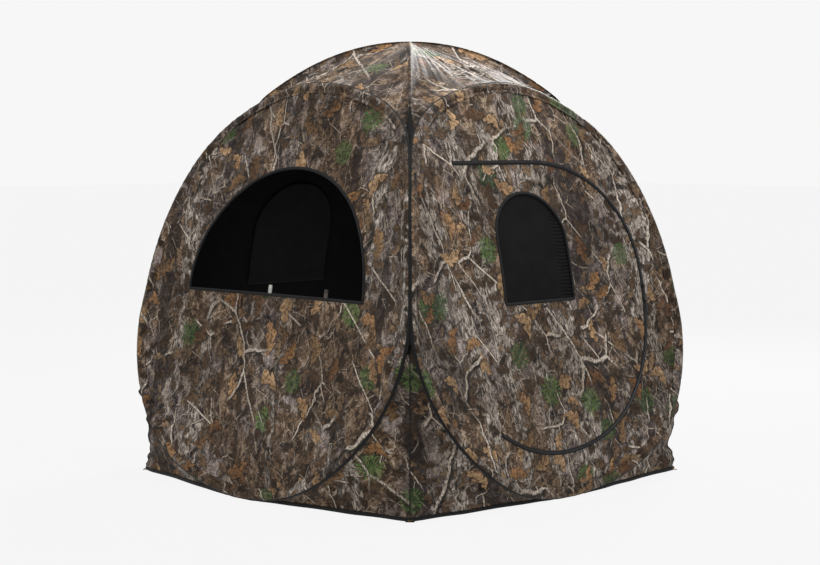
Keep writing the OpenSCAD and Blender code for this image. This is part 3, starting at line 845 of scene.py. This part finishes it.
def roof():
    """Four gores, sagging a little between the ridges, with folds that run out from the peak."""
    half, rows = 90, 44
    z = HOOP_PART + (HOOP_TOP - HOOP_PART) * np.sin(np.linspace(0, math.pi / 2, half))
    u = hoop_half(z)
    u[0] = corner_w(z[0])
    u, z = np.concatenate([u, -u[::-1]]), np.concatenate([z, z[::-1]])
    for side in range(4):
        w = wall_w(u, z, side)
        t = np.linspace(0.004, 0.995, rows)[:, None]
        fall = 1.3 + 0.8 * (np.abs(u) / corner_w(HOOP_PART)) ** 2
        height = z + (PEAK - z) * (1 - (1 - t) ** fall)
        smooth_grid = np.stack(np.broadcast_arrays(u * (1 - t), -w * (1 - t), height), -1)
        turn = np.arctan2(u, w)
        middle = 1 - (np.abs(turn) / (math.pi / 4)) ** 2
        far = w * (1 - t)
        folds = noise(turn * 17, far * 2.2, 40 + side) + 0.5 * noise(turn * 34, far * 3.1, 50 + side)
        lift = 0.012 * folds * smooth(0, 0.25, t) * smooth(0.08, 0.80, 1 - t) * np.sqrt(np.maximum(middle, 0))
        lift = lift + 0.009 * noise(turn * 26, far * 6, 60 + side) * np.exp(-t / 0.12) * smooth(0, 0.03, t)
        lift = lift + 0.004 * noise(turn * 9, far * 9, 70 + side) * smooth(0, 0.2, t) * middle
        lift = lift - 0.014 * middle * np.sin(math.pi * t)
        ridge = (math.pi / 4 - np.abs(turn)) * w * (1 - t)
        sunk = groove(t) * np.exp(-(ridge / 0.042) ** 2)
        across = np.where(u > 0, -1, 1) * sunk / math.sqrt(2)
        grid = smooth_grid + np.stack([across, sunk / math.sqrt(2), lift], -1)
        slope = np.hypot(w * (1 - t), PEAK - height)
        prints = np.stack([u * (1 - t), 1.2 - slope], -1)
        prints = prints + np.array(PRINT_SHIFT[side]) + 1.7
        o = grid_object(f"roof_{SIDES[side]}_cloth", turned(grid, side), prints, ["camo", "inside"],
                        outward=(0, 0, 0.7))
        nodes = [f"roof_{SIDES[side]}"] + (["peak_patch"] if side == 0 else [])
        finished(o, "blind", "camo_cloth", *nodes)
        sheet(smooth_grid, False)
    # Felled seams down the four ridges, and at each one's foot the corner's black tape, carried on up into
    # the fold as a black strip that paints the fold's shadow
    for k in range(4):
        t = np.linspace(0, 0.995, 70)
        fall = 2.1
        radius = float(corner_r(HOOP_PART)) * (1 - t) - groove(t)
        height = HOOP_PART + (PEAK - HOOP_PART) * (1 - (1 - t) ** fall)
        path = turned(np.stack([radius / math.sqrt(2), -radius / math.sqrt(2), height], -1), k)
        along = heading(path)
        across = np.broadcast_to(turned(np.array([1, 1, 0]) / math.sqrt(2), k), along.shape)
        out = np.cross(across, along)
        out = out * np.sign(out[:, 2:3])
        seam = tape_profile(0.0055, 0.005, -0.001, 0.0010, 0.0018)
        prints = np.stack([np.zeros_like(t), radius], -1) + 2.9 + k
        strip(f"ridge_seam_{CORNERS[k]}", path, (across, out), seam,
              material="sleeve", prints=prints)
        low = 22
        z = np.linspace(0.76, HOOP_PART, 30)[:-1]
        foot = np.stack([corner_w(z) - 0.010, -corner_w(z) + 0.010, z], -1)
        # Real tape up to the hoops' parting; above that the strip follows the ridge seam up the fold, a
        # painted shadow where there is no tape
        path = np.vstack([turned(foot, k), path[:low] + out[:low] * 0.0026])
        along = heading(path)
        across = np.broadcast_to(across[0], along.shape)
        out = facing_out(across, along, path)
        up = np.linspace(0, 1, len(path))
        # Widest where the fold is deepest, so the painted shadow widens with the fold
        across = across * (0.6 + 1.5 * smooth(0.52, 0.70, up) - 1.9 * smooth(0.74, 1.0, up))[:, None]
        tape = tape_profile(0.011, 0.010, -0.0006, 0.0006, 0.0002)
        strip(f"corner_tape_and_fold_shadow_{CORNERS[k]}", path, (across, out), tape,
              nodes=("corner_tapes",) if k == 0 else ())


def gussets():
    """The tapering cloth between two hoops, drawn back at its seam and pulled into level wrinkles."""
    for k in range(4):
        z = 0.004 + (FLARE_TOP + 0.40 - 0.004) * (1 - np.cos(np.linspace(0, math.pi / 2, 110)))
        z = np.minimum(z, HOOP_PART + 0.03)
        z = z[:, None]
        s = np.linspace(-1, 1, 81)[None]
        half = hoop_half(np.maximum(z, 0.012)) + 0.004
        half = np.minimum(half, corner_w(z) - 0.002)
        inset = 0.015 * smooth(0.03, 0.12, z)
        a = np.stack(np.broadcast_arrays(half, -wall_w(half, z, k) + inset), -1)
        b = np.stack(np.broadcast_arrays(wall_w(half, z, (k + 1) % 4) - inset, -half), -1)
        back = 0.012 * smooth(0.52, 0.80, z) + 0.020 * smooth(0.50, 0.64, z) * smooth(0.86, 0.70, z)
        back = back - 0.018 * smooth(0.09, 0.0, z)
        c = np.stack([corner_w(z) - back, -corner_w(z) + back], -1)
        end = np.where(s[..., None] < 0, a, b)
        flat = c + (end - c) * np.abs(s)[..., None]
        wide = np.linalg.norm(a - b, axis=-1)
        fade = smooth(0, 0.25, 1 - np.abs(s)) * smooth(0.0, 0.05, z) * smooth(0.04, 0.25, wide)
        bend = 0.5 * np.abs(s) * wide
        level = noise(bend * 4, z * 15 + 1.2 * np.abs(s), 80 + k) + 0.6 * noise(bend * 9, z * 34, 90 + k)
        depth = 0.030 * level * fade - 0.026 * fade * np.sin(math.pi * np.abs(s)) ** 0.7
        depth = depth - 0.007 * np.exp(-np.abs(s) / 0.04) * fade
        low = smooth(0.22, 0.0, z) * smooth(0, 0.12, 1 - np.abs(s)) * smooth(0, 0.10, np.abs(s))
        depth = depth + 0.017 * noise(bend * 7.5, z * 2, 100 + k) * low
        out = np.stack([depth, -depth], -1) / math.sqrt(2)
        height = np.broadcast_to(z, (z.shape[0], s.shape[1]))
        smooth_grid = np.concatenate([flat, height[..., None]], -1)
        grid = np.concatenate([flat + out, height[..., None]], -1)
        prints = np.stack([s * wide / 2 * 1.05, height], -1) + np.array(PRINT_SHIFT[k]) + 12.4
        o = grid_object(f"gusset_{CORNERS[k]}_cloth", turned(grid, k), prints, ["camo", "inside"],
                        outward=(0, 0, 0.5))
        finished(o, "blind", "camo_cloth", f"gusset_{CORNERS[k]}")
        sheet(smooth_grid, False)
        # Seam down the middle
        rows = np.flatnonzero((z[:, 0] > 0.02) & (z[:, 0] < 0.74))
        path = turned(grid, k)[rows, grid.shape[1] // 2]
        along = heading(path)
        level_way = np.broadcast_to(turned(np.array([1, 1, 0]) / math.sqrt(2), k), path.shape)
        out = facing_out(level_way, along, path)
        strip(f"gusset_seam_{CORNERS[k]}", path, (level_way, out),
              tape_profile(0.0022, 0.0016, -0.0008, 0.0012, 0.0020))
        # Bound hem along the ground
        foot = turned(grid, k)[0].copy()
        foot[:, 2] = 0.0002
        along = heading(foot)
        up = np.broadcast_to(np.array([0, 0, 1.0]), foot.shape)
        away = facing_out(along, up, foot)
        profile = [(0.0, -0.0015), (0.0, 0.0018), (0.006, 0.0026), (0.0125, 0.0020), (0.0130, -0.0015)]
        strip(f"hem_{CORNERS[k]}_tape", foot, (up, away), profile, nodes=(f"hem_{CORNERS[k]}",))


def tape_round(name, line, side, wide, body, *nodes, out=0.0006):
    """A flat binding with soft edges round an opening, on the cloth's outer face."""
    path, normals = wall_frame(line, side, True)
    profile = [(-0.0010, -0.0012), (-0.0014, 0.0010), (0.0006, 0.0022), (wide * 0.5, 0.0019),
               (wide - 0.001, 0.0017), (wide, 0.0004), (wide, -0.0012)]
    profile = [(-a, b + out) for a, b in profile]
    return strip(name, path, normals, profile, body, closed=True, nodes=nodes)


def windows():
    line = resample(window_line(), 300, True)
    tape_round("front_window_binding", line, 0, TAPE, "blind", "front_window_tape")
    for side, body, node in ((1, "door", "door"), (2, "blind", "back"), (3, "blind", "left")):
        line = resample(small_line(side), 200, True)
        tape_round(f"{node}_window_binding", line, side, TAPE, body, f"{node}_window_tape")
        net_panel(side, body, node)


def arch_grid(c, half, base, spring, top, rows, cols):
    t = np.linspace(0, 1, rows)
    z = base + (top - base) * np.where(t < 1, t, 0.999)
    z[-1] = top - 0.0004
    arch = half * np.sqrt(np.maximum(0, 1 - ((z - spring) / (top - spring)) ** 2))
    wide = np.where(z < spring, half, arch)
    s = np.linspace(-1, 1, cols)
    return np.stack([c + wide[:, None] * s[None], np.broadcast_to(z[:, None], (rows, cols))], -1)


def net_panel(side, body, node):
    uz = arch_grid(SMALL_OFF[side], SMALL_W / 2 + 0.008, SMALL_SILL - 0.002, SMALL_SPRING, SMALL_TOP + 0.008,
                   170, 60)
    ripple = 0.0012 * noise(uz[..., 0] * 22, uz[..., 1] * 5, 120 + side)
    right = smooth(0.105, 0.150, uz[..., 0] - SMALL_OFF[side])
    rung = np.sin(uz[..., 1] * 2 * math.pi / 0.013 + 3 * noise(uz[..., 0] * 20, uz[..., 1] * 9, 7))
    ripple = ripple + 0.0016 * right * (rung - 0.6) + wall_wrinkles(uz, side)
    o = grid_object(f"{node}_window_net", on_wall(uz, side, -0.0034 + ripple), uz, ["net"], thick=0.0006,
                    outward=(0, 0, 0.7))
    finished(o, body, "black_mesh", f"{node}_window_mesh")
    sheet(on_wall(uz, side), False)


def cover_shape(side, uz, sill, hung):
    """A window cover as it closes, or hanging from its hinge line."""
    hinge_w, hinge_z = float(wall_w(0.0, sill, side)) - 0.016, sill - 0.008
    seed = 130 + side
    ripple = 0.004 * noise(uz[..., 0] * 7, uz[..., 1] * 3, seed) * smooth(0, 0.08, uz[..., 1] - sill)
    drape = 0 if hung else wall_wrinkles(uz, side)
    local = turned(on_wall(uz, side, drape - 0.0085 + np.minimum(ripple, 0.001)), -side % 4)
    if hung:
        turn = COVER_TURN
        y, z = local[..., 1] + hinge_w, local[..., 2] - hinge_z
        c, s = math.cos(-turn), math.sin(-turn)
        local = np.stack([local[..., 0], y * c - z * s - hinge_w, y * s + z * c + hinge_z], -1)
    return turned(local, side)


def covers():
    lap = 0.022
    for side, name in enumerate(("front", "door", "back", "left")):
        if side == 0:
            c, half, sill, spring, top = 0.0, WINDOW_W / 2, SILL_Z, SILL_Z + 0.02, SILL_Z + WINDOW_H
        else:
            c, half, sill, spring, top = SMALL_OFF[side], SMALL_W / 2, SMALL_SILL, SMALL_SPRING, SMALL_TOP
        half, top, hung = half + lap, top + lap, side < 2
        node = f"{name}_window_cover"
        uz = arch_grid(c, half, sill - 0.005, spring, top, 60, 70)
        grid = cover_shape(side, uz, sill, hung)
        o = grid_object(f"{node}_cloth", grid, uz + 20.0, ["cover"], thick=0.0012)
        finished(o, f"{name}_cover", "cover_cloth", node)
        sheet(on_wall(uz, side), False)


def zip_parts():
    """The zip: two tapes and two rows of coil along the door's curved edge."""
    line = zip_line(520)[6:-4]
    path, normals = wall_frame(line, 1, False)
    teeth = 0.5 + 0.5 * np.cos(np.arange(len(path)) * math.pi)
    rise = normals[1] * (1 + 0.25 * teeth)[:, None]
    tape = [(0.0028, 0.0006), (0.0028, 0.0022), (0.0050, 0.0024), (0.0076, 0.0020), (0.0082, 0.0004)]
    coil = [(0.0004, 0.0012), (0.0004, 0.0036), (0.0012, 0.0046), (0.0024, 0.0042), (0.0030, 0.0026),
            (0.0030, 0.0012)]
    # Across points to the inside of the door's curve
    for name, sign, body in (("wall", -1, "blind"), ("door", 1, "door")):
        strip(f"zip_{name}_tape", path, normals, [(sign * a, b) for a, b in tape], body, material="zip",
              nodes=(f"zip_tape_{name}",))
        strip(f"zip_{name}_coil", path, (normals[0], rise), [(sign * a, b) for a, b in coil], body,
              "coil", nodes=(f"zip_coil_{name}",))


def stake_tabs():
    """Webbing tabs that slope from the hem to the ground, each with a hole for its eyelet."""
    middle_r, lean, half, n = float(corner_r(0.022)) + 0.019, math.radians(12), 0.0158, 64
    turn = np.linspace(0, 2 * math.pi, n + 1)[:-1]
    hole = np.stack([np.cos(turn), np.sin(turn)], -1) * 0.0070
    reach = np.minimum(np.where(np.cos(turn) > 0, 0.0138, 0.0190) / np.maximum(np.abs(np.cos(turn)), 1e-6),
                       half / np.maximum(np.abs(np.sin(turn)), 1e-6))
    rim = np.stack([np.cos(turn), np.sin(turn)], -1) * reach[:, None]
    t = np.linspace(0, 1, 9)[:, None, None]
    flat = rim[None] * (1 - t) + hole[None] * t
    for k in range(4):
        x, y = flat[..., 0], flat[..., 1]
        up = 0.0009 * noise(x * 60, y * 60, 150 + k) * (1 - t[..., 0]) + 0.0002
        r = middle_r + x * math.cos(lean) + up * math.sin(lean)
        z = 0.0045 - x * math.sin(lean) + up * math.cos(lean)
        c = math.sqrt(0.5)
        grid = turned(np.stack([(r + y) * c, (y - r) * c, np.maximum(z, 0.0012)], -1), k)
        o = grid_object(f"stake_tab_{CORNERS[k]}", grid, flat + 30, ["tape"], wrap=True, thick=0.0011,
                        outward=(0, 0, -1))
        finished(o, "blind", "black_webbing", *(["stake_tabs"] if k == 0 else []))


def sill_pieces():
    """A short strap below the sill and two folded loops standing behind it."""
    u = np.full(30, -0.177) + 0.002 * np.sin(np.linspace(0, 3, 30))
    line = np.stack([u, np.linspace(0.721, 0.672, 30)], -1)
    path, (across, out) = wall_frame(line, 0, False)
    path = path + out * (0.0030 + 0.0014 * np.sin(np.linspace(0, 5, 30)))[:, None]
    strip("sill_strap_webbing", path, (across, out), tape_profile(0.003, 0.003, 0, 0.0013, 0.0017),
          nodes=("sill_strap",))
    for i, (u, material) in enumerate(((-0.034, "pale"), (0.274, "sleeve"))):
        bend = np.linspace(0.2, math.pi - 0.2, 9)
        z = np.concatenate([np.linspace(0.728, 0.764, 16), 0.764 + 0.0022 * np.sin(bend),
                            np.linspace(0.764, 0.728, 16)])
        back = np.concatenate([np.full(16, 0.0), -0.0011 * (1 - np.cos(bend)), np.full(16, -0.0022)])
        line = np.stack([np.full(len(z), u), z], -1)
        path = on_wall(line, 0, -0.0030 + back)
        side = np.broadcast_to(np.array([1.0, 0, 0]), path.shape)
        along = heading(path)
        out = np.cross(along, side)
        prints = line + 40 + i
        strip(f"sill_loop_{i + 1}", path, (side, out), tape_profile(0.0088, 0.0088, -0.0003, 0.0003, 0.0005),
              "blind", material, prints=prints, nodes=("sill_loops",) if i == 0 else ())


def lathe(name, axis_start, axis, profile, material, body, slot_name, *nodes):
    """A turned shape: profile is (along, radius) points about the axis."""
    axis = np.asarray(axis, float) / np.linalg.norm(axis)
    a = np.cross(axis, (0.3, 0.2, 0.9))
    a /= np.linalg.norm(a)
    b = np.cross(axis, a)
    t = np.linspace(0, 2 * math.pi, 29)[:-1]
    ring = np.cos(t)[:, None] * a + np.sin(t)[:, None] * b
    grid = np.stack([np.asarray(axis_start) + axis * x + r * ring for x, r in profile])
    o = grid_object(name, grid, np.zeros(grid.shape[:2] + (2,)), [material], wrap=True, thick=0)
    tidy_normals(o)
    return finished(o, body, slot_name, *nodes)


def toggles():
    """Bar toggles, each held by a webbing loop sewn to the wall."""
    half = [(0.0032, 0.0029), (0.0045, 0.0033), (0.0075, 0.0040), (0.010, 0.0041), (0.0118, 0.0036),
            (0.0128, 0.0022), (0.013, 0.0005)]
    bar = [(-x, r) for x, r in reversed(half)] + half
    for i, (side, u, z, body, node) in enumerate(((0, -0.025, 0.650, "blind", "front_toggles"),
                                                  (0, 0.131, 0.687, "blind", None),
                                                  (1, -0.021, 0.690, "door", "door_toggle"))):
        line = np.array([[u - 0.002, z], [u, z], [u + 0.002, z]])
        path, (_, out) = wall_frame(line, side, False)
        axis = path[2] - path[0]
        middle = path[1] + out[1] * 0.0076
        nodes = [node] if node else []
        lathe(f"toggle_{i + 1}", middle, axis, bar, "plastic", body, "black_plastic", *nodes)
        axis = axis / np.linalg.norm(axis)
        up = np.cross(axis, out[1])
        t = np.linspace(-0.35, 2 * math.pi + 0.35, 40) - math.pi / 2
        ring = middle + 0.0038 * (np.cos(t)[:, None] * up + np.sin(t)[:, None] * out[1])
        ring[:3] = ring[3] - out[1] * np.array([0.0036, 0.0024, 0.0012])[:, None]
        ring[-3:] = ring[-4] - out[1] * np.array([0.0012, 0.0024, 0.0036])[:, None]
        along = heading(ring)
        side_way = np.broadcast_to(axis, ring.shape)
        strip(f"toggle_loop_{i + 1}", ring, (side_way, np.cross(along, side_way)),
              [(-0.0028, -0.0004), (-0.0028, 0.0004), (0.0028, 0.0004), (0.0028, -0.0004)], body)


def give(node, material):
    """A better material on a CAD node whose shape is right."""
    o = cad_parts[node]
    if not o.material_slots:
        o.data.materials.append(MAT[material])
    for s in o.material_slots:
        s.material = MAT[material]


def hardware():
    for side in SIDES:
        give(f"hoop_{side}", "steel")
    give("hoop_ferrules", "steel")
    give("grommets", "brass")
    for name in ("upper", "lower"):
        give(f"zip_slider_{name}", "zinc")
        give(f"zip_pull_{name}", "plastic")


# ---------------------------------------------------------------- camera, floor and light
def studio():
    floor = bpy.data.meshes.new("floor")
    floor.from_pydata([(-40, -40, 0), (40, -40, 0), (40, 40, 0), (-40, 40, 0)], [], [(0, 1, 2, 3)])
    o = bpy.data.objects.new("floor", floor)
    bpy.context.collection.objects.link(o)
    o.location.z = -0.002
    n = Nodes("pale_floor")
    where = n.new("TexCoord").outputs["Object"]
    base = n.mix(n.noise(where, 3.0), (0.015, 0.015, 0.015), (0.018, 0.018, 0.018))
    floor.materials.append(n.finish(base, 0.95, Emission_Color=(1, 1, 1, 1), Emission_Strength=0.895,
                                    Specular_IOR_Level=0.0))

    world = bpy.data.worlds.new("studio")
    bpy.context.scene.world = world
    world.use_nodes = True
    world.node_tree.nodes["Background"].inputs[0].default_value = (1, 1, 1, 1)
    world.node_tree.nodes["Background"].inputs[1].default_value = 0.93

    def area(name, place, look, size, power):
        lamp = bpy.data.lights.new(name, "AREA")
        lamp.energy, lamp.size = power, size
        o = bpy.data.objects.new(name, lamp)
        o.location = place
        o.rotation_euler = (Vector(look) - Vector(place)).to_track_quat("-Z", "Y").to_euler()
        bpy.context.collection.objects.link(o)

    area("top_light", (1.1, 0.1, 4.6), (0.2, 0, 1.2), 1.6, 140)
    area("front_fill", (3.2, -6.4, 2.0), (0, 0, 0.6), 3.0, 115)
    area("rim_light", (-1.5, 4.6, 3.9), (0.3, 0.2, 1.5), 1.8, 560)

    camera = bpy.data.cameras.new("camera")
    camera.sensor_width, camera.lens = 36.0, 84.3
    o = bpy.data.objects.new("camera", camera)
    distance, height, pitch = 7.5, 1.3, 4.27
    o.location = (distance / math.sqrt(2), -distance / math.sqrt(2), height)
    o.rotation_euler = (math.radians(90 - pitch), 0, math.radians(45))
    bpy.context.collection.objects.link(o)
    bpy.context.scene.camera = o
    bpy.context.scene.view_settings.view_transform = "Standard"


studio()
walls()
sleeves()
roof()
gussets()
windows()
covers()
zip_parts()
stake_tabs()
sill_pieces()
toggles()
hardware()
